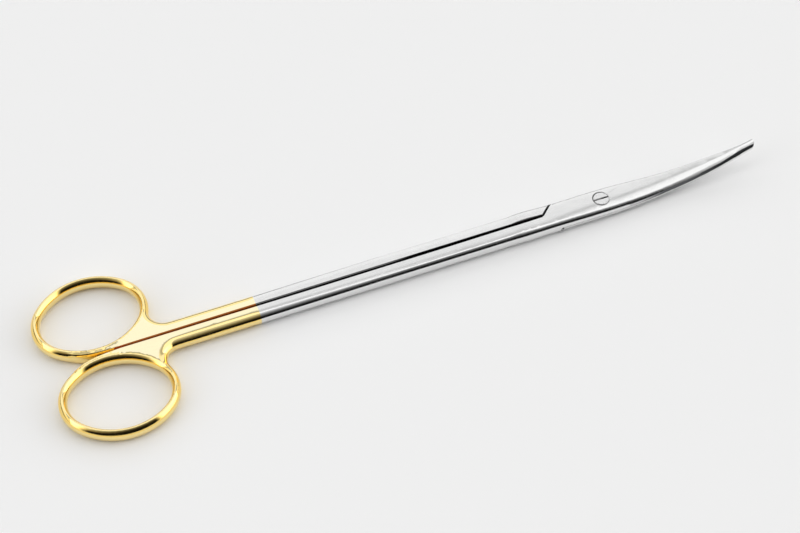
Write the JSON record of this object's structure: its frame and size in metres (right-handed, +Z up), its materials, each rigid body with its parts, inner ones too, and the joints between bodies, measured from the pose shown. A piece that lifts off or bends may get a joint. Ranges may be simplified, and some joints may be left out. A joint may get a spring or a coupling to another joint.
{
  "type": "dissecting scissors",
  "caption": "Slender closed scissors with long shanks, gold-plated finger rings and blades that curve upwards, joined by a flush slotted screw.",
  "frame": {"origin": "where the pivot axis meets the surface that the scissors lie on, at the foot of the joint screw", "axes": "+X from the pivot to the tips, +Z up along the pivot axis, +Y towards the ring of the lower half"},
  "size_m": [0.2305, 0.0602, 0.0104],
  "materials": {
    "upper_half": "satin stainless steel, with polished gold plating from the ring to 113 mm from the pivot",
    "lower_half": "satin stainless steel, with polished gold plating from the ring to 113 mm from the pivot",
    "joint_screw": "satin stainless steel",
    "edge_insert": "ground hard metal"
  },
  "bodies": {
    "lower": {"lower_half": "lower_half", "lower_edge_insert": "edge_insert", "joint_screw": "joint_screw"},
    "upper": {"upper_half": "upper_half", "upper_edge_insert": "edge_insert"}
  },
  "joints": [
    {"name": "blade_hinge", "type": "hinge", "parent": "lower", "child": "upper", "pos_m": [0, 0, 0], "axis": [0, 0, 1], "range_deg": [0, 90]}
  ]
}
